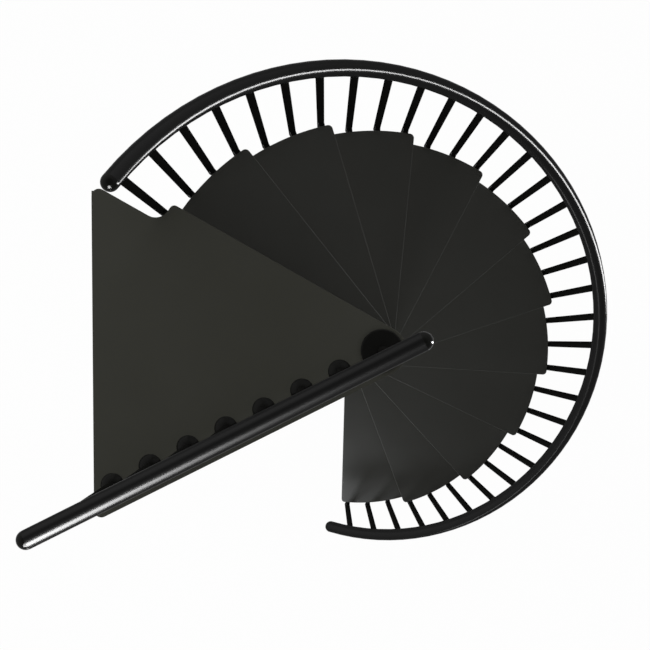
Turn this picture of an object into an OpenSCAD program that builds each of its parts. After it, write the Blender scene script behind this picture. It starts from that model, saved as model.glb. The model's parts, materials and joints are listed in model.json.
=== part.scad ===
// Spiral staircase: steel pan treads stacked on a round column, with a corner landing,
// a helical handrail on slim balusters and a straight guard along one side of the landing.
// Millimetres, Z up. The origin is the middle of the base plate's underside, on the column's axis.
// The stair climbs counter-clockwise seen from above, and the landing points along -X.

/* [Steps] */
// Height from one tread to the next
rise = 235; // [200:5:260]
// Turn from one tread to the next, in degrees
step_angle = 22; // [20:0.5:24]
// Angle from a tread's outer corner to its nearest baluster, in degrees
corner_margin = 2.34; // [2:0.02:3]
// Radius of the treads' rounded outer corners
tread_corner_r = 14; // [10:1:22]
// Thickness of the treads' sheet steel
sheet_t = 5; // [3:0.5:8]
// Depth of the turned-down lips
lip_depth = 40; // [34:1:60]
// Thickness of the ribs under the treads
rib_t = 6; // [4:1:10]

/* [Column] */
// Radius of the centre pole
pole_r = 50.8; // [40:0.1:55]
// Wall of the hub collars on the treads
collar_wall = 6.1; // [4:0.1:10]
// Wall of the spacer sleeves between the treads
spacer_wall = 4; // [3:0.1:4]
// Height of the hub collars
collar_h = 70; // [62:1:100]
// Gap all round between the pole and what slides over it
pole_gap = 0.25; // [0.1:0.05:0.5]
// Height of the column's plastic cap above the landing
cap_h = 9; // [6:1:16]

/* [Base] */
// Radius of the base plate
base_r = 160; // [140:1:200]
// Thickness of the base plate
base_t = 12; // [8:1:20]
// Radius of the circle of anchor holes
anchor_circle_r = 125; // [95:1:130]
// Radius of an anchor hole
anchor_hole_r = 7; // [5:0.5:8]

/* [Landing] */
// Distance from the column's axis to the landing's outer edge
landing_reach = 779; // [760:1:900]
// Length of the landing's outer edge
landing_edge = 912; // [860:1:930]
// Radius of the landing's outer corners
landing_corner_r = 20; // [10:1:40]
// Radius of the hollow corner beside the landing's front tab
tab_fillet_r = 40; // [20:1:44]
// Distance of the landing's entry side from the column's axis
entry_offset = 6.7; // [2:0.1:20]
// Distance of the landing's guarded side from the column's axis
guard_offset = 67.5; // [66:0.5:90]
// Depth of the fixing flange on the landing's outer edge
flange_depth = 110; // [100:1:160]
// Thickness of the fixing flange
flange_t = 8; // [6:1:12]
// Distance between the fixing holes along the landing's edge
fixing_spacing_y = 700; // [500:10:740]
// Distance between the upper and lower fixing holes
fixing_spacing_z = 44; // [36:1:48]
// Radius of a fixing hole
fixing_hole_r = 6.5; // [4:0.5:8]

/* [Guards] */
// Angle of the landing's front baluster, seen from above, in degrees
front_angle = 147.12; // [146.5:0.02:147.5]
// Radius of the circle on which the balusters stand
baluster_circle_r = 710; // [640:1:780]
// Radius of a baluster
baluster_r = 11; // [8:0.5:12.5]
// Gap between the treads' outer edge and the balusters
tread_gap = 11; // [6:0.5:16]
// Length of a baluster below the lip that holds it
baluster_drop = 84; // [10:1:120]
// Radius of the bushes that bridge that gap
bush_r = 9; // [6:0.5:12]
// Radius of the handrail tube
rail_tube_r = 21.2; // [18:0.1:25]
// Height of the handrail's centre line over each tread's front baluster
rail_height = 872; // [820:1:920]
// How far the handrail's centre line lies inside the balusters' circle
rail_inset = 4; // [0:0.5:6]
// Turn of the handrail past its uppermost baluster, in degrees
rail_top_turn = 1.65; // [1.2:0.05:4]
// Turn of the handrail past its lowest baluster, in degrees
rail_foot_turn = 6.3; // [4:0.1:12]
// Depth to which the balusters are let into the handrail
weld_depth = 0.6; // [0.5:0.1:1]

/* [Landing guard] */
// Height of the straight rail's centre line above the landing
guard_height = 940; // [900:1:1150]
// Distance from the column's axis to the first baluster of the guard
guard_first = 127; // [110:1:130]
// Distance between the guard's balusters
guard_pitch = 114; // [100:1:116]
// Length of the straight rail past its outer baluster
guard_end_outer = 54; // [30:1:70]
// Length of the straight rail past the column's axis
guard_end_inner = 57; // [40:1:90]
// Radius of the dome feet of the guard's balusters
foot_r = 31.8; // [20:0.1:34]
// Height of the dome feet
foot_h = 15; // [10:0.5:20]

/* [Hidden] */
tread_count = 11;
balusters_per_tread = 3;
guard_count = 7;
rail_sides = 20;
rings_per_tread = 6;
anchor_count = 4;
rib_gap = 6;
nose_margin = 3;
nose_steps = 20;
hub_web = 34;
landing_rib_turn = 16;
arc_error = 0.08;
$fn = 64;

landing_z = (tread_count + 1) * rise;
collar_r = pole_r + pole_gap + collar_wall;
nose_r = collar_r + sheet_t;
landing_nose_r = nose_r + nose_margin;
tread_r = baluster_circle_r - baluster_r - tread_gap;
baluster_angle = step_angle / balusters_per_tread;
rail_r = baluster_circle_r - rail_inset;
rail_slope = atan(rise / (rail_r * step_angle * PI / 180));
rail_top_angle = front_angle + rail_top_turn;
rail_foot_angle = front_angle - tread_count * step_angle - rail_foot_turn;
half_span = step_angle / 2 + corner_margin;
side_turn = half_span - asin(nose_r / tread_r);

landing_corner_angle = atan2(landing_edge / 2, -landing_reach);
landing_corner_dist = norm([landing_edge / 2, landing_reach]);
entry_normal = landing_corner_angle + asin(entry_offset / landing_corner_dist) - 90;
guard_angle = 360 - landing_corner_angle - asin(guard_offset / landing_corner_dist);
guard_normal = guard_angle + 90;
front_normal = front_angle + step_angle / 2 - side_turn - 90;
guard_outer = guard_first + (guard_count - 1) * guard_pitch;

// Small helpers

function two_digits(n) = n < 10 ? str("0", n) : str(n);
function polar(r, a) = [r * cos(a), r * sin(a)];
function mix(a, b, t) = a + (b - a) * t;

// Points of an arc, from one angle to the other, no further than arc_error from the true round
function arc(centre, r, from, to) =
    let (steps = max(2, ceil(abs(to - from) / (2 * acos(1 - arc_error / r)))))
    [for (i = [0 : steps]) centre + polar(r, mix(from, to, i / steps))];

// Point where two lines cross, each given by its normal's angle and its distance from the axis
function crossing(a, da, b, db) =
    [da * sin(b) - db * sin(a), db * cos(a) - da * cos(b)] / sin(b - a);

// Centre of a corner arc that touches a side line and the outer circle from inside
function edge_corner(normal, offset, r_outer, r) =
    let (side = offset - r, along = sqrt(pow(r_outer - r, 2) - side * side))
    polar(side, normal) + polar(along, normal + 90);

// Levels and angles of the steps, counted from the floor; the landing is step tread_count + 1

function step_z(n) = n * rise;
function step_front(n) = front_angle - (tread_count + 1 - n) * step_angle;
function step_middle(n) = step_front(n) + step_angle / 2;

function rail_z(a) = landing_z + rail_height - (front_angle - a) * rise / step_angle;

// Outer end of a tread pointing along +X, from side to side, drawn in from its edge by inset
function tread_end(inset) =
    let (
        corner = edge_corner(-90 - side_turn, nose_r, tread_r, tread_corner_r),
        mirrored = [corner.x, -corner.y],
        turn = -atan2(corner.y, corner.x),
        r = tread_corner_r - inset
    )
    concat(
        arc(corner, r, -90 - side_turn, -turn),
        arc([0, 0], tread_r - inset, -turn, turn),
        arc(mirrored, r, turn, 90 + side_turn));

// The whole outline, with its round nose about the column
function tread_outline() =
    concat(tread_end(0), arc([0, 0], nose_r, 90 + side_turn, 270 - side_turn));

// The hollow between the lips, up to the hub
function tread_hollow() =
    let (normal = 90 + side_turn, inner = hub_point(normal, nose_r - sheet_t, -1))
    concat(tread_end(sheet_t), [inner, [inner.x, -inner.y]]);

// Point beside the hub where the hollow under a sheet ends, on a side line of that normal;
// sense is 1 where the side runs outwards counter-clockwise of its normal, and -1 otherwise
function hub_point(normal, offset, sense) = polar(offset, normal) + polar(hub_web, normal + sense * 90);

// A tray of sheet steel with its lips turned down, top at z = 0
module pan(outline, hollow) {
    difference() {
        translate([0, 0, -lip_depth])
            linear_extrude(lip_depth) polygon(outline);
        translate([0, 0, -lip_depth - 1])
            linear_extrude(lip_depth - sheet_t + 1) polygon(hollow);
    }
}

// A flat bar under a tray, from the hub outwards along an angle
module rib(angle, length) {
    depth = lip_depth - sheet_t - rib_gap;
    rotate([0, 0, angle])
        translate([pole_r + pole_gap + 1, -rib_t / 2, -sheet_t - depth])
            cube([length - pole_r - pole_gap - 1, rib_t, depth + 1]);
}

// The collar that slides over the pole, top at z = 0
module collar() {
    translate([0, 0, -collar_h]) cylinder(r = collar_r, h = collar_h);
}

module pole_hole() {
    translate([0, 0, -collar_h - 1]) cylinder(r = pole_r + pole_gap, h = collar_h + 2);
}

module tread(n) {
    color([0.16, 0.16, 0.16])
        translate([0, 0, step_z(n)])
            rotate([0, 0, step_middle(n)])
                difference() {
                    union() {
                        pan(tread_outline(), tread_hollow());
                        collar();
                        rib(0, tread_r - sheet_t / 2);
                    }
                    pole_hole();
                }
}

// Outer end of the landing, drawn in from its edge by inset: front tab, hollow corner,
// entry side, outer edge and guarded corner
function landing_end(inset) =
    let (
        tab = edge_corner(front_normal, landing_nose_r, tread_r, tread_corner_r),
        tab_angle = atan2(tab.y, tab.x),
        fillet = edge_corner(entry_normal, entry_offset, tread_r, -tab_fillet_r),
        fillet_angle = atan2(fillet.y, fillet.x),
        reach = landing_reach - landing_corner_r,
        entry = crossing(entry_normal, entry_offset - landing_corner_r, 180, reach),
        guarded = crossing(180, reach, guard_normal, guard_offset - landing_corner_r),
        corner_r = landing_corner_r - inset
    )
    concat(
        arc(tab, tread_corner_r - inset, front_normal, tab_angle),
        arc([0, 0], tread_r - inset, tab_angle, fillet_angle),
        arc(fillet, tab_fillet_r + inset, fillet_angle + 180, entry_normal + 180),
        arc(entry, corner_r, entry_normal, 180),
        arc(guarded, corner_r, 180, guard_normal));

// The whole outline, with a nose round the column from the guarded side to the front
function landing_outline() =
    let (nose_turn = front_normal + 360 - guard_normal)
    concat(landing_end(0), [for (t = [0 : 1 / nose_steps : 1])
        polar(mix(guard_offset, landing_nose_r, t), guard_normal + nose_turn * t)]);

// The hollow between the landing's lips, up to the hub
function landing_hollow() =
    concat(landing_end(sheet_t), [
        hub_point(guard_normal, guard_offset - sheet_t, -1),
        hub_point(front_normal, landing_nose_r - sheet_t, 1)]);

// Upright plate under the landing's outer edge
module fixing_flange() {
    width = landing_edge - 2 * landing_corner_r;
    translate([-landing_reach, -width / 2, -flange_depth])
        cube([flange_t, width, flange_depth - sheet_t / 2]);
}

// Holes through the flange, in two rows below the lip
module fixing_holes() {
    middle = -(lip_depth + flange_depth) / 2;
    for (y = [-1, 1], z = [-1, 1])
        translate([-landing_reach - 1, y * fixing_spacing_y / 2, middle + z * fixing_spacing_z / 2])
            rotate([0, 90, 0]) cylinder(r = fixing_hole_r, h = flange_t + 2);
}

module landing() {
    color([0.18, 0.18, 0.18])
        translate([0, 0, landing_z])
            difference() {
                union() {
                    pan(landing_outline(), landing_hollow());
                    collar();
                    for (a = [-1, 0, 1])
                        rib(180 + a * landing_rib_turn, landing_reach / cos(a * landing_rib_turn) - flange_t / 2);
                    fixing_flange();
                }
                pole_hole();
                fixing_holes();
            }
}

module base_plate() {
    color([0.13, 0.13, 0.13])
        difference() {
            cylinder(r = base_r, h = base_t);
            for (i = [0 : anchor_count - 1])
                rotate([0, 0, 45 + 360 * i / anchor_count])
                    translate([anchor_circle_r, 0, -1])
                        cylinder(r = anchor_hole_r, h = base_t + 2);
        }
}

module centre_pole() {
    color([0.13, 0.13, 0.13])
        translate([0, 0, base_t]) cylinder(r = pole_r, h = landing_z - base_t);
}

module spacer_sleeves() {
    color([0.14, 0.14, 0.14])
        for (n = [1 : tread_count + 1]) {
            foot = max(step_z(n - 1), base_t);
            translate([0, 0, foot])
                difference() {
                    cylinder(r = pole_r + pole_gap + spacer_wall, h = step_z(n) - collar_h - foot);
                    translate([0, 0, -1]) cylinder(r = pole_r + pole_gap, h = rise);
                }
        }
}

// Plastic cap on the column's top, with the guard's inner baluster standing through it
module column_cap() {
    edge = cap_h / 2;
    color([0.05, 0.05, 0.05])
        translate([0, 0, landing_z])
            difference() {
                rotate_extrude()
                    polygon(concat(
                        [[0, 0], [collar_r, 0]],
                        arc([collar_r - edge, cap_h - edge], edge, 0, 90),
                        [[0, cap_h]]));
                translate([0, 0, -1]) cylinder(r = baluster_r, h = cap_h + 2);
            }
}

// A straight bar of the handrail's outline, along the rail's slope at that angle
module rail_tangent(a, r) {
    rotate([0, 0, a])
        translate([rail_r, 0, rail_z(a)])
            rotate([rail_slope - 90, 0, 0])
                cylinder(r = r, h = 6 * rail_tube_r, center = true);
}

// An upright of the spiral guard, from the given level to the underside of the handrail
module baluster(a, foot) {
    difference() {
        rotate([0, 0, a])
            translate([baluster_circle_r, 0, foot])
                cylinder(r = baluster_r, h = rail_z(a) - foot);
        rail_tangent(a, rail_tube_r - weld_depth);
    }
}

// Level at which a baluster held by that step ends
function baluster_foot(n) = step_z(n) - lip_depth - baluster_drop;

// The uprights of one tread: the front one also ties the tread below
module tread_balusters(n) {
    color([0.06, 0.06, 0.06])
        for (i = [0 : balusters_per_tread - 1])
            baluster(step_front(n) + i * baluster_angle, baluster_foot(i == 0 ? max(n - 1, 1) : n));
}

module landing_front_baluster() {
    color([0.06, 0.06, 0.06]) baluster(front_angle, baluster_foot(tread_count));
}

// A short spacer between a step's outer lip and a baluster
module bush(a, n) {
    difference() {
        rotate([0, 0, a])
            translate([tread_r, 0, step_z(n) - lip_depth / 2])
                rotate([0, 90, 0]) cylinder(r = bush_r, h = baluster_circle_r - tread_r);
        rotate([0, 0, a])
            translate([baluster_circle_r, 0, step_z(n) - lip_depth])
                cylinder(r = baluster_r, h = lip_depth);
    }
}

module baluster_bushes() {
    color([0.05, 0.05, 0.05]) {
        for (n = [1 : tread_count], i = [0 : balusters_per_tread])
            bush(step_front(n) + i * baluster_angle, n);
        landing_bush();
    }
}

// The bush of the landing's front tab, cut to the hollow corner beside it
module landing_bush() {
    difference() {
        bush(front_angle, tread_count + 1);
        translate([0, 0, landing_z - lip_depth])
            linear_extrude(lip_depth) polygon(landing_outline());
    }
}

// The handrail: a round tube swept along a helix
module spiral_handrail() {
    turn = rail_top_angle - rail_foot_angle;
    rings = ceil(turn / step_angle * rings_per_tread);
    points = [for (i = [0 : rings], k = [0 : rail_sides - 1])
        let (
            a = rail_foot_angle + turn * i / rings,
            p = 360 * k / rail_sides,
            outwards = [cos(a), sin(a), 0],
            upwards = [sin(rail_slope) * sin(a), -sin(rail_slope) * cos(a), cos(rail_slope)]
        )
        [rail_r * cos(a), rail_r * sin(a), rail_z(a)] + rail_tube_r * (cos(p) * outwards + sin(p) * upwards)];
    skin = [for (i = [0 : rings - 1], k = [0 : rail_sides - 1], half = [0, 1])
        let (
            here = i * rail_sides,
            next = here + rail_sides,
            beside = (k + 1) % rail_sides
        )
        half == 0 ? [here + k, next + beside, next + k] : [here + k, here + beside, next + beside]];
    ends = [
        [for (k = [rail_sides - 1 : -1 : 0]) k],
        [for (k = [0 : rail_sides - 1]) rings * rail_sides + k]];
    color([0.05, 0.05, 0.05]) polyhedron(points, concat(skin, ends));
}

// Rounded plug in a rail's end, its flat side at z = 0
module end_plug() {
    intersection() {
        sphere(r = rail_tube_r);
        cylinder(r = 2 * rail_tube_r, h = 2 * rail_tube_r);
    }
}

module spiral_handrail_caps() {
    color([0.04, 0.04, 0.04]) {
        rotate([0, 0, rail_top_angle])
            translate([rail_r, 0, rail_z(rail_top_angle)])
                rotate([rail_slope - 90, 0, 0]) end_plug();
        rotate([0, 0, rail_foot_angle])
            translate([rail_r, 0, rail_z(rail_foot_angle)])
                rotate([rail_slope + 90, 0, 0]) end_plug();
    }
}

// Places its children on the landing's guard line, at a distance from the column's axis
module on_guard(distance, height) {
    rotate([0, 0, guard_angle]) translate([distance, 0, landing_z + height]) children();
}

module guard_rail_solid() {
    on_guard(-guard_end_inner, guard_height)
        rotate([0, 90, 0]) cylinder(r = rail_tube_r, h = guard_outer + guard_end_outer + guard_end_inner);
}

module guard_rail() {
    color([0.05, 0.05, 0.05]) guard_rail_solid();
}

module guard_rail_caps() {
    color([0.04, 0.04, 0.04]) {
        on_guard(guard_outer + guard_end_outer, guard_height) rotate([0, 90, 0]) end_plug();
        on_guard(-guard_end_inner, guard_height) rotate([0, -90, 0]) end_plug();
    }
}

module guard_balusters() {
    color([0.06, 0.06, 0.06])
        difference() {
            for (i = [-1 : guard_count - 1])
                on_guard(i < 0 ? 0 : guard_first + i * guard_pitch, 0)
                    cylinder(r = baluster_r, h = guard_height);
            guard_rail_solid();
        }
}

// Dome round the foot of each baluster on the landing
module guard_baluster_feet() {
    dome_r = (foot_r * foot_r + foot_h * foot_h) / (2 * foot_h);
    color([0.04, 0.04, 0.04])
        for (i = [0 : guard_count - 1])
            on_guard(guard_first + i * guard_pitch, 0)
                difference() {
                    intersection() {
                        translate([0, 0, foot_h - dome_r]) sphere(r = dome_r);
                        cylinder(r = 2 * foot_r, h = 2 * foot_h);
                    }
                    translate([0, 0, -1]) cylinder(r = baluster_r, h = foot_h + 2);
                }
}

base_plate();
centre_pole();
column_cap();
spacer_sleeves();
landing();
for (n = [1 : tread_count]) {
    tread(n);
    tread_balusters(n);
}
landing_front_baluster();
baluster_bushes();
spiral_handrail();
spiral_handrail_caps();
guard_rail();
guard_rail_caps();
guard_balusters();
guard_baluster_feet();
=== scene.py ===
"""Look of the spiral staircase: finishes, small fittings, floor, light and camera for the fixed solids."""
import json
import math

import bmesh
import bpy
from mathutils import Matrix, Vector


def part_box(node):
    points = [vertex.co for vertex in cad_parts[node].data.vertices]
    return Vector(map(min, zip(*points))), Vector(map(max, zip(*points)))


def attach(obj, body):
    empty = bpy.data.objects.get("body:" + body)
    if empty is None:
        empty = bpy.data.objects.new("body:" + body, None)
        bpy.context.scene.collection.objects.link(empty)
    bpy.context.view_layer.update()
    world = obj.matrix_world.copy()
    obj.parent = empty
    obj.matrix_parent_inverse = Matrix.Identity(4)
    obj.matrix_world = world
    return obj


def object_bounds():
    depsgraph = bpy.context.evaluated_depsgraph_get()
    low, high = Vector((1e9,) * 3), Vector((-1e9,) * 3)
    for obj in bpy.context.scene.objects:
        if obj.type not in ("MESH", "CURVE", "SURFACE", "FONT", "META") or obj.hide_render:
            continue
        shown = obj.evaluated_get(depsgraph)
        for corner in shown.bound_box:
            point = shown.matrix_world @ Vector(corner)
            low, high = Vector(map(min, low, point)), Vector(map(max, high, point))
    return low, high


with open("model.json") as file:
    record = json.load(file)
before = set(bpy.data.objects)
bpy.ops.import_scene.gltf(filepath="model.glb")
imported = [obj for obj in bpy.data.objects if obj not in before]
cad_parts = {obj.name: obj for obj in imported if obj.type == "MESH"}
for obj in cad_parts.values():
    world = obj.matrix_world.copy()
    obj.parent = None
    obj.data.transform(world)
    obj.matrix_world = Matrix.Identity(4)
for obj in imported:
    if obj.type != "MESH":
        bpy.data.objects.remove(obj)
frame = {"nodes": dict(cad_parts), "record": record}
cad_low, cad_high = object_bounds()

# Sizes that the small fittings share with the solids, in metres
SHEET = 0.005
BALUSTER_R = 0.011
LIP_TO_AXIS = 0.022
FLANGE = 0.008

# Reach within which a node's corners belong to one solid, in metres
SOLID_REACH = 0.04

# Seats of the small fittings, in metres and degrees
SCREW_SUNK = 0.0018
PLUG_SUNK = 0.001
WELD_R = 0.0022
WELD_STEP = 0.0004
FIRST_ANCHOR_TURN = 45

# Rounding of the solids' look, in radians and metres
SHARP_ANGLE = math.radians(35)
FLAT_ANGLE = math.radians(0.3)
CORNER_GAP = 0.00002
TOP_SLACK = 0.0002
EDGE_R = 0.001
EDGE_STEPS = 3

# Profiles of the turned fittings: radius, height and whether that ring is a hexagon
ROUND = False
HEX = True
SCREW = [
    (0.0056, 0.0, ROUND), (0.0056, 0.0016, ROUND), (0.0052, 0.0028, ROUND), (0.0042, 0.0039, ROUND),
    (0.0031, 0.0044, ROUND), (0.0025, 0.0045, HEX), (0.0023, 0.0024, HEX)]
CAP_NUT = [
    (0.0085, -0.0002, ROUND), (0.0085, 0.0012, ROUND), (0.0070, 0.0013, HEX), (0.0075, 0.0020, HEX),
    (0.0075, 0.0060, HEX), (0.0066, 0.0070, HEX), (0.0050, 0.0074, ROUND), (0.0050, 0.0090, ROUND),
    (0.0042, 0.0114, ROUND), (0.0022, 0.0130, ROUND)]
PLUG = [
    (0.0112, 0.0, ROUND), (0.0112, 0.0030, ROUND), (0.0102, 0.0046, ROUND), (0.0074, 0.0058, ROUND),
    (0.0036, 0.0063, ROUND)]
ANCHOR = [
    (0.0120, -0.0002, ROUND), (0.0120, 0.0021, ROUND), (0.0116, 0.0025, ROUND), (0.0100, 0.0025, HEX),
    (0.0106, 0.0033, HEX), (0.0106, 0.0122, HEX), (0.0096, 0.0130, HEX), (0.0060, 0.0130, ROUND),
    (0.0060, 0.0190, ROUND), (0.0050, 0.0202, ROUND)]
BOLT = [
    (0.0120, -0.0002, ROUND), (0.0120, 0.0021, ROUND), (0.0116, 0.0025, ROUND), (0.0098, 0.0026, ROUND),
    (0.0106, 0.0030, HEX), (0.0106, 0.0094, HEX), (0.0096, 0.0102, HEX), (0.0050, 0.0104, ROUND)]

# Noise of the coatings: scale per metre, detail, strength of the skin's bump, and the middle of its range
CLOUD_SCALE = 3.0
CLOUD_DETAIL = 4
GLOSS_SCALE = 14.0
GLOSS_DETAIL = 3
SKIN_DETAIL = 2
SKIN_STRENGTH = 0.25
NOISE_LOW = 0.3
NOISE_HIGH = 0.7

# Tint of the coatings' gloss, with flake and without
FLAKE_TINT = (0.55, 0.55, 0.55, 1)
NO_TINT = (1, 1, 1, 1)

# Studio: the world's band by the height of a direction, its brighter side, and the floor
HORIZON_END = 0.60
OVERHEAD_START = 0.90
BRIGHT_SIDE = (-0.6, 0.8, 0)
FLOOR_GREY = (0.85, 0.85, 0.85, 1)
FLOOR_ROUGHNESS = 0.9
FLOOR_SHINE = 0.1
FLOOR_HALF_WIDTH = 30
FLOOR_GAP = 0.0005
FLOOR_WHITE = 0.96

# Camera that was fitted to the photograph, in metres, degrees and pixels
CAMERA_PLACE = (-0.15315, 0.03174, 6.9215)
CAMERA_TURN = -0.465
FOCAL_PIXELS = 1524
CENTRE_PIXEL = (325.05, 338.96)
IMAGE_PIXELS = 650
SENSOR_MM = 36

TREADS = sorted(name for name in frame["nodes"] if name.startswith("tread_"))
BALUSTERS = sorted(name for name in frame["nodes"] if name.startswith("balusters_"))
RAILS = ["spiral_handrail", "spiral_handrail_caps", "guard_rail", "guard_rail_caps"]
MOUNTS = {mount["name"]: mount for mount in frame["record"]["mounts"]}


# Reading the frame

def clusters(node, flat):
    """Groups a node's corners into its separate solids; flat compares their places from above only."""
    groups = []
    for vertex in frame["nodes"][node].data.vertices:
        place = vertex.co.copy()
        for group in groups:
            gap = place - group[0]
            if (gap.xy if flat else gap).length < SOLID_REACH:
                group.append(place)
                break
        else:
            groups.append([place])
    return groups


def corners(group):
    """Lowest and highest corner of a group of points."""
    low = Vector(min(point[axis] for point in group) for axis in range(3))
    high = Vector(max(point[axis] for point in group) for axis in range(3))
    return low, high


def half_in_metres(millimetres):
    """Half of a length that the record gives in millimetres."""
    return millimetres / 2000


# Building meshes

def facing(place, direction):
    """Matrix that puts a fitting at a place with its own +Z along a direction."""
    turn = Vector(direction).to_track_quat("Z", "Y").to_matrix().to_4x4()
    return Matrix.Translation(place) @ turn


def skin(bm, rings, closed):
    """Faces between rings of equal count; closed also joins the last ring to the first."""
    pairs = zip(rings, rings[1:] + rings[:1]) if closed else zip(rings, rings[1:])
    for ring, after in pairs:
        for index in range(len(ring)):
            beside = (index + 1) % len(ring)
            bm.faces.new((ring[index], ring[beside], after[beside], after[index]))


def hexagonal(turn):
    """Share of a round radius at which a hexagon's flat lies, at that turn."""
    within = (turn + math.pi / 6) % (math.pi / 3) - math.pi / 6
    return math.cos(math.pi / 6) / math.cos(within)


def lathe(bm, matrix, profile, steps=24):
    """Turned shape with closed ends, from a profile of radius, height and whether a ring is a hexagon."""
    rings = []
    for radius, level, six_sided in profile:
        ring = []
        for step in range(steps):
            turn = 2 * math.pi * step / steps
            reach = radius * (hexagonal(turn) if six_sided else 1)
            place = Vector((reach * math.cos(turn), reach * math.sin(turn), level))
            ring.append(bm.verts.new(matrix @ place))
        rings.append(ring)
    skin(bm, rings, False)
    bm.faces.new(list(reversed(rings[0])))
    bm.faces.new(rings[-1])


def bead(bm, path, radius, sides=8):
    """Closed round bead along a loop of points."""
    rings = []
    for index, point in enumerate(path):
        along = (path[(index + 1) % len(path)] - path[index - 1]).normalized()
        across = along.cross(Vector((0, 0, 1))).normalized()
        upward = across.cross(along)
        ring = []
        for side in range(sides):
            turn = 2 * math.pi * side / sides
            offset = across * math.cos(turn) + upward * math.sin(turn)
            ring.append(bm.verts.new(point + offset * radius))
        rings.append(ring)
    skin(bm, rings, True)


def piece(name, bm, material):
    """Turns a finished mesh into a piece of the staircase."""
    bmesh.ops.recalc_face_normals(bm, faces=bm.faces)
    mesh = bpy.data.meshes.new(name)
    bm.to_mesh(mesh)
    bm.free()
    mesh.materials.append(material)
    made = bpy.data.objects.new(name, mesh)
    bpy.context.collection.objects.link(made)
    mesh.shade_smooth()
    mesh.set_sharp_from_angle(angle=SHARP_ANGLE)
    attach(made, "root")


# Nodes that several trees use

def combine(tree, kind, operation, first, second):
    """Node of two inputs and one operation."""
    made = tree.nodes.new(kind)
    made.operation = operation
    tree.links.new(first, made.inputs[0])
    tree.links.new(second, made.inputs[1])
    return made.outputs[0]


def height(tree, place):
    """Height of a place or direction."""
    split = tree.nodes.new("ShaderNodeSeparateXYZ")
    tree.links.new(place, split.inputs[0])
    return split.outputs["Z"]


def above(tree, value, limit):
    """Whether a number is above a limit."""
    test = tree.nodes.new("FunctionNodeCompare")
    test.data_type = "FLOAT"
    test.operation = "GREATER_THAN"
    test.inputs["B"].default_value = limit
    tree.links.new(value, test.inputs["A"])
    return test.outputs["Result"]


def spread(tree, value, start, end, low, high):
    """Maps the range from start to end onto low and high; the node is returned."""
    made = tree.nodes.new("ShaderNodeMapRange")
    made.inputs["From Min"].default_value = start
    made.inputs["From Max"].default_value = end
    made.inputs["To Min"].default_value = low
    made.inputs["To Max"].default_value = high
    tree.links.new(value, made.inputs["Value"])
    return made


def ramp(tree, factor, stops):
    """Colour ramp with the given stops."""
    made = tree.nodes.new("ShaderNodeValToRGB")
    for element, (position, colour) in zip(made.color_ramp.elements, stops):
        element.position = position
        element.color = (*colour, 1)
    tree.links.new(factor, made.inputs["Fac"])
    return made.outputs["Color"]


# Materials

def new_material(name):
    """Empty node material with its shader."""
    material = bpy.data.materials.new(name)
    material.use_nodes = True
    return material, material.node_tree, material.node_tree.nodes["Principled BSDF"]


def noise(tree, scale, detail):
    """Noise in the object's own metres."""
    place = tree.nodes.new("ShaderNodeTexCoord")
    made = tree.nodes.new("ShaderNodeTexNoise")
    made.inputs["Scale"].default_value = scale
    made.inputs["Detail"].default_value = detail
    tree.links.new(place.outputs["Object"], made.inputs["Vector"])
    return made.outputs["Fac"]


def bump(tree, relief, strength, distance):
    """Bump from a relief."""
    made = tree.nodes.new("ShaderNodeBump")
    made.inputs["Strength"].default_value = strength
    made.inputs["Distance"].default_value = distance
    tree.links.new(relief, made.inputs["Height"])
    return made.outputs["Normal"]


def coating(name, dark, pale, roughness, shine, grain, depth, flake=0.0):
    """Black coating: cloudy tone, uneven gloss and a fine orange-peel skin; flake is its share of metal."""
    material, tree, shader = new_material(name)
    shader.inputs["Specular IOR Level"].default_value = shine
    shader.inputs["Metallic"].default_value = flake
    shader.inputs["Specular Tint"].default_value = FLAKE_TINT if flake else NO_TINT
    cloud = ramp(tree, noise(tree, CLOUD_SCALE, CLOUD_DETAIL), ((NOISE_LOW, dark), (NOISE_HIGH, pale)))
    uneven = spread(tree, noise(tree, GLOSS_SCALE, GLOSS_DETAIL), NOISE_LOW, NOISE_HIGH, *roughness)
    peel = bump(tree, noise(tree, grain, SKIN_DETAIL), SKIN_STRENGTH, depth)
    tree.links.new(cloud, shader.inputs["Base Color"])
    tree.links.new(uneven.outputs["Result"], shader.inputs["Roughness"])
    tree.links.new(peel, shader.inputs["Normal"])
    return material


satin_black = coating(
    "satin_black", dark=(0.029, 0.029, 0.0255), pale=(0.033, 0.033, 0.0295),
    roughness=(0.28, 0.31), shine=0.5, grain=700, depth=0.00004)
# The landing's coating is the treads' coated steel made paler: its lighter base colour is painted light,
# for the landing lying in brighter light than the treads below it
landing_painted_light = coating(
    "landing_painted_light", dark=(0.0425, 0.0425, 0.0355), pale=(0.0465, 0.0465, 0.0395),
    roughness=(0.60, 0.68), shine=0.0, grain=700, depth=0.0002)
matt_black = coating(
    "matt_black", dark=(0.006, 0.006, 0.0055), pale=(0.007, 0.007, 0.0065),
    roughness=(0.70, 0.78), shine=0.0, grain=500, depth=0.00003)
rail_black = coating(
    "rail_black", dark=(0.0115, 0.0115, 0.0115), pale=(0.0125, 0.0125, 0.0125),
    roughness=(0.18, 0.20), shine=0.0, grain=400, depth=0.0000005, flake=0.5)
guard_black = coating(
    "guard_black", dark=(0.0115, 0.0115, 0.0115), pale=(0.0125, 0.0125, 0.0125),
    roughness=(0.284, 0.290), shine=0.0, grain=400, depth=0.0000005, flake=0.6)
plastic_black = coating(
    "plastic_black", dark=(0.0055, 0.0055, 0.005), pale=(0.0065, 0.0065, 0.006),
    roughness=(0.11, 0.14), shine=0.03, grain=900, depth=0.00002)
fixing_black = coating(
    "fixing_black", dark=(0.006, 0.006, 0.006), pale=(0.009, 0.009, 0.0085),
    roughness=(0.40, 0.50), shine=0.05, grain=600, depth=0.00003)

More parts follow.
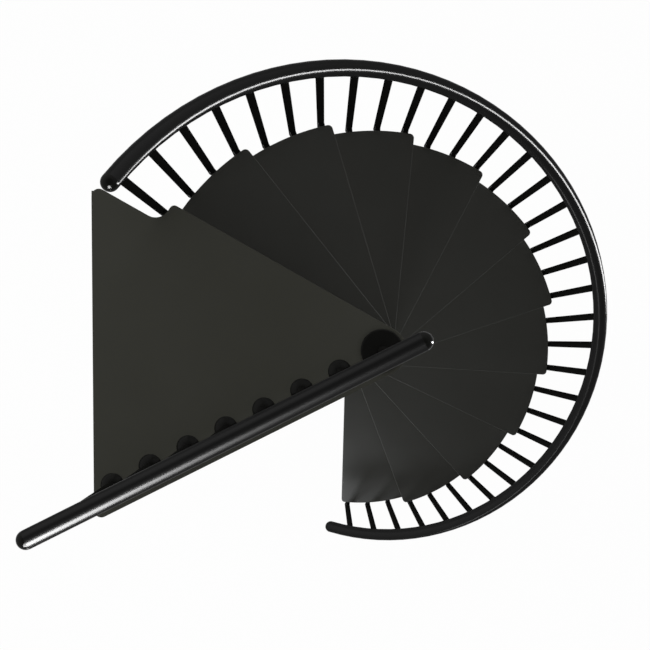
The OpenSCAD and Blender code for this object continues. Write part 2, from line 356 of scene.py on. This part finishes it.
SLOT_FINISHES = {
    "coated_steel": satin_black,
    "tube_steel": matt_black,
    "rail_steel": rail_black,
    "black_plastic": plastic_black,
}
# The landing takes the paler copy of the coated steel, whose lighter colour is painted light
NODE_FINISHES = {"landing": landing_painted_light, "guard_rail": guard_black}


# Finish of the solids

def weigh_top_edges(group, mesh, sharp):
    """Gives the sharp edges of a mesh's top outline the weight that rounds them."""
    box = group.nodes.new("GeometryNodeBoundBox")
    group.links.new(mesh, box.inputs["Geometry"])
    ends = group.nodes.new("GeometryNodeInputMeshEdgeVertices")
    heights = [height(group, ends.outputs[name]) for name in ("Position 1", "Position 2")]
    lower = combine(group, "ShaderNodeMath", "MINIMUM", *heights)
    from_top = combine(group, "ShaderNodeMath", "SUBTRACT", lower, height(group, box.outputs["Max"]))
    chosen = combine(group, "FunctionNodeBooleanMath", "AND", above(group, from_top, -TOP_SLACK), sharp)
    weight = group.nodes.new("GeometryNodeStoreNamedAttribute")
    weight.data_type = "FLOAT"
    weight.domain = "EDGE"
    weight.inputs["Name"].default_value = "bevel_weight_edge"
    group.links.new(mesh, weight.inputs["Geometry"])
    group.links.new(chosen, weight.inputs["Value"])
    return weight.outputs["Geometry"]


def smooth_finish():
    """Node group that joins split corners, smooths the shading of curves and weighs the edges to soften."""
    group = bpy.data.node_groups.new("smooth_finish", "GeometryNodeTree")
    group.interface.new_socket("Geometry", in_out="INPUT", socket_type="NodeSocketGeometry")
    group.interface.new_socket("Geometry", in_out="OUTPUT", socket_type="NodeSocketGeometry")
    start = group.nodes.new("NodeGroupInput")
    end = group.nodes.new("NodeGroupOutput")
    merge = group.nodes.new("GeometryNodeMergeByDistance")
    merge.inputs["Distance"].default_value = CORNER_GAP
    angle = group.nodes.new("GeometryNodeInputMeshEdgeAngle")
    sharp = above(group, angle.outputs["Unsigned Angle"], SHARP_ANGLE)
    shading = group.nodes.new("GeometryNodeSetMeshNormal")
    shading.mode = "SHARPNESS"
    group.links.new(start.outputs["Geometry"], merge.inputs["Geometry"])
    group.links.new(merge.outputs["Geometry"], shading.inputs["Mesh"])
    group.links.new(sharp, shading.inputs["Edge Sharpness"])
    group.links.new(weigh_top_edges(group, shading.outputs["Mesh"], sharp), end.inputs["Geometry"])
    return group


def soften(node):
    """Rounds the edges of a node's top outline and keeps its flat faces flat."""
    joined = node.modifiers.new("joined_faces", "DECIMATE")
    joined.decimate_type = "DISSOLVE"
    joined.angle_limit = FLAT_ANGLE
    rounded = node.modifiers.new("soft_edges", "BEVEL")
    rounded.width = EDGE_R
    rounded.segments = EDGE_STEPS
    rounded.limit_method = "WEIGHT"
    rounded.use_clamp_overlap = False
    flat = node.modifiers.new("flat_faces", "WEIGHTED_NORMAL")
    flat.keep_sharp = True


finish_group = smooth_finish()
slots = {row["node"]: row["material_slot"] for row in frame["record"]["subparts"]}
for name, node in frame["nodes"].items():
    node.data.materials.clear()
    node.data.materials.append(NODE_FINISHES.get(name, SLOT_FINISHES[slots[name]]))
    node.modifiers.new("smooth_finish", "NODES").node_group = finish_group
for name in TREADS + ["landing", "base_plate"]:
    soften(frame["nodes"][name])


# Screws through the balusters and nuts behind the lips

screws = bmesh.new()
nuts = bmesh.new()
for bush in clusters("baluster_bushes", False):
    low, high = corners(bush)
    middle = (low + high) / 2
    outward = Vector((middle.x, middle.y, 0)).normalized()
    lip = min(point.dot(outward) for point in bush)
    level = Vector((0, 0, middle.z))
    baluster_face = lip + LIP_TO_AXIS + BALUSTER_R
    lathe(screws, facing(outward * (baluster_face - SCREW_SUNK) + level, outward), SCREW)
    lathe(nuts, facing(outward * (lip - SHEET) + level, -outward), CAP_NUT)
piece("baluster_screws", screws, fixing_black)
piece("lip_nuts", nuts, fixing_black)


# Plugs in the balusters' lower ends and weld beads at their tops

plugs = bmesh.new()
welds = bmesh.new()
for name in BALUSTERS + ["landing_front_baluster", "guard_balusters"]:
    for upright in clusters(name, True):
        low, high = corners(upright)
        axis = (low + high) / 2
        if name != "guard_balusters":
            lathe(plugs, facing(Vector((axis.x, axis.y, low.z + PLUG_SUNK)), (0, 0, -1)), PLUG)
        rim = [point for point in upright if point.z > axis.z]
        rim.sort(key=lambda point: math.atan2(point.y - axis.y, point.x - axis.x))
        path = []
        for point in rim:
            if not path or (point - path[-1]).length > WELD_STEP:
                path.append(point)
        bead(welds, path, WELD_R)
piece("baluster_plugs", plugs, plastic_black)
piece("rail_welds", welds, matt_black)


# Anchors in the base plate

anchors = bmesh.new()
circle = MOUNTS["base_anchors"]["dims"]
plate_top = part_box("base_plate")[1].z
for index in range(circle["count"]):
    turn = math.radians(FIRST_ANCHOR_TURN + 360 * index / circle["count"])
    reach = half_in_metres(circle["pcd_mm"])
    place = Vector((reach * math.cos(turn), reach * math.sin(turn), plate_top))
    lathe(anchors, facing(place, (0, 0, 1)), ANCHOR)
piece("base_anchors", anchors, fixing_black)


# Bolts inside the landing's fixing flange

bolts = bmesh.new()
fixing = MOUNTS["landing_fixings"]
half_along = half_in_metres(fixing["dims"]["spacing_x_mm"])
half_up = half_in_metres(fixing["dims"]["spacing_y_mm"])
for side in (-1, 1):
    for row in (-1, 1):
        place = Vector(fixing["pos_m"]) + Vector((FLANGE, side * half_along, row * half_up))
        lathe(bolts, facing(place, (1, 0, 0)), BOLT)
piece("landing_bolts", bolts, fixing_black)


# Floor, light and camera

def white_to_eye(tree, shader_socket, share):
    """Mixes a shader with plain white for what the camera, gloss and glass see, and returns the mix."""
    path = tree.nodes.new("ShaderNodeLightPath")
    seen = path.outputs["Is Camera Ray"]
    for ray in ("Is Glossy Ray", "Is Transmission Ray"):
        seen = combine(tree, "ShaderNodeMath", "MAXIMUM", seen, path.outputs[ray])
    part = tree.nodes.new("ShaderNodeMath")
    part.operation = "MULTIPLY"
    part.inputs[1].default_value = share
    white = tree.nodes.new("ShaderNodeEmission")
    mix = tree.nodes.new("ShaderNodeMixShader")
    tree.links.new(seen, part.inputs[0])
    tree.links.new(part.outputs[0], mix.inputs["Fac"])
    tree.links.new(shader_socket, mix.inputs[1])
    tree.links.new(white.outputs[0], mix.inputs[2])
    return mix.outputs[0]


def add_floor():
    """Pale studio floor just under the base plate."""
    material, tree, shader = new_material("studio_floor")
    shader.inputs["Base Color"].default_value = FLOOR_GREY
    shader.inputs["Roughness"].default_value = FLOOR_ROUGHNESS
    shader.inputs["Specular IOR Level"].default_value = FLOOR_SHINE
    out = tree.nodes["Material Output"]
    tree.links.new(white_to_eye(tree, shader.outputs[0], FLOOR_WHITE), out.inputs["Surface"])
    mesh = bpy.data.meshes.new("studio_floor")
    half = FLOOR_HALF_WIDTH
    level = cad_low.z - FLOOR_GAP
    places = [(x * half, y * half, level) for x, y in ((-1, -1), (1, -1), (1, 1), (-1, 1))]
    mesh.from_pydata(places, [], [(0, 1, 2, 3)])
    mesh.materials.append(material)
    floor = bpy.data.objects.new("studio_floor", mesh)
    bpy.context.collection.objects.link(floor)


def add_world(overhead, around, side):
    """Pale studio: dim overhead, bright towards the horizon and, by a share, brighter at its back left."""
    world = bpy.data.worlds.new("studio")
    world.use_nodes = True
    bpy.context.scene.world = world
    tree = world.node_tree
    background = tree.nodes["Background"]
    direction = tree.nodes.new("ShaderNodeTexCoord").outputs["Generated"]
    stops = ((HORIZON_END, (around,) * 3), (OVERHEAD_START, (overhead,) * 3))
    tree.links.new(ramp(tree, height(tree, direction), stops), background.inputs["Color"])
    lean = tree.nodes.new("ShaderNodeVectorMath")
    lean.operation = "DOT_PRODUCT"
    lean.inputs[1].default_value = BRIGHT_SIDE
    tree.links.new(direction, lean.inputs[0])
    level = spread(tree, lean.outputs["Value"], -1, 1, 1 - side, 1 + side)
    tree.links.new(level.outputs["Result"], background.inputs["Strength"])


def add_softbox(name, place, target, size, radiance, tint=(1, 1, 1), only=()):
    """Soft lamp aimed at a point; with only, it reaches just those nodes, and just as a mirrored light."""
    lamp = bpy.data.lights.new(name, "AREA")
    lamp.shape = "RECTANGLE"
    lamp.size, lamp.size_y = size
    lamp.energy = radiance * math.pi * size[0] * size[1]
    lamp.color = tint
    made = bpy.data.objects.new(name, lamp)
    made.location = place
    made.rotation_euler = (Vector(target) - Vector(place)).to_track_quat("-Z", "Y").to_euler()
    made.visible_camera = False
    made.visible_diffuse = not only
    bpy.context.collection.objects.link(made)
    if only:
        receivers = bpy.data.collections.new(name)
        for node in only:
            receivers.objects.link(frame["nodes"][node])
        made.light_linking.receiver_collection = receivers
    return lamp


def fade_out(lamp, start):
    """Lets a lamp's brightness fall to nothing across its width, from a share of that width to its end."""
    lamp.use_nodes = True
    tree = lamp.node_tree
    across = tree.nodes.new("ShaderNodeSeparateXYZ")
    tree.links.new(tree.nodes.new("ShaderNodeNewGeometry").outputs["Parametric"], across.inputs[0])
    level = spread(tree, across.outputs["X"], start, 1, 1, 0)
    level.interpolation_type = "SMOOTHSTEP"
    tree.links.new(level.outputs["Result"], tree.nodes["Emission"].inputs["Strength"])


def add_camera():
    """Camera that looks straight down, at the photograph's place and frame."""
    lens = bpy.data.cameras.new("camera")
    lens.sensor_width = SENSOR_MM
    lens.lens = FOCAL_PIXELS * SENSOR_MM / IMAGE_PIXELS
    lens.shift_x = (IMAGE_PIXELS / 2 - CENTRE_PIXEL[0]) / IMAGE_PIXELS
    lens.shift_y = (CENTRE_PIXEL[1] - IMAGE_PIXELS / 2) / IMAGE_PIXELS
    camera = bpy.data.objects.new("camera", lens)
    camera.location = CAMERA_PLACE
    camera.rotation_euler = (0, 0, math.radians(CAMERA_TURN))
    bpy.context.collection.objects.link(camera)
    bpy.context.scene.camera = camera


add_floor()
add_world(overhead=0.08, around=1.35, side=0.5)

# Lamp over the stair's foot
add_softbox(
    "foot_lamp", place=(-0.33, -1.0, 2.6), target=(-0.10, -0.60, 0.24), size=(0.22, 0.22), radiance=42,
    tint=(0.95, 0.98, 1))

# Lamps that only the rails mirror
add_softbox(
    "right_strip", place=(3.4, -0.40, 1.8), target=(0, 0, 1.8), size=(0.6, 3.4), radiance=150, only=RAILS)
front_panel = add_softbox(
    "front_panel", place=(-0.60, -2.5, 5.2), target=(-0.60, 0, 5.2), size=(2.0, 2.2), radiance=200,
    only=RAILS)
fade_out(front_panel, start=0.55)
add_softbox(
    "front_strip", place=(-0.62, -4.7, 1.35), target=(-0.62, 0, 1.35), size=(0.5, 2.7), radiance=14,
    only=RAILS)

add_camera()
bpy.context.scene.view_settings.view_transform = "Standard"
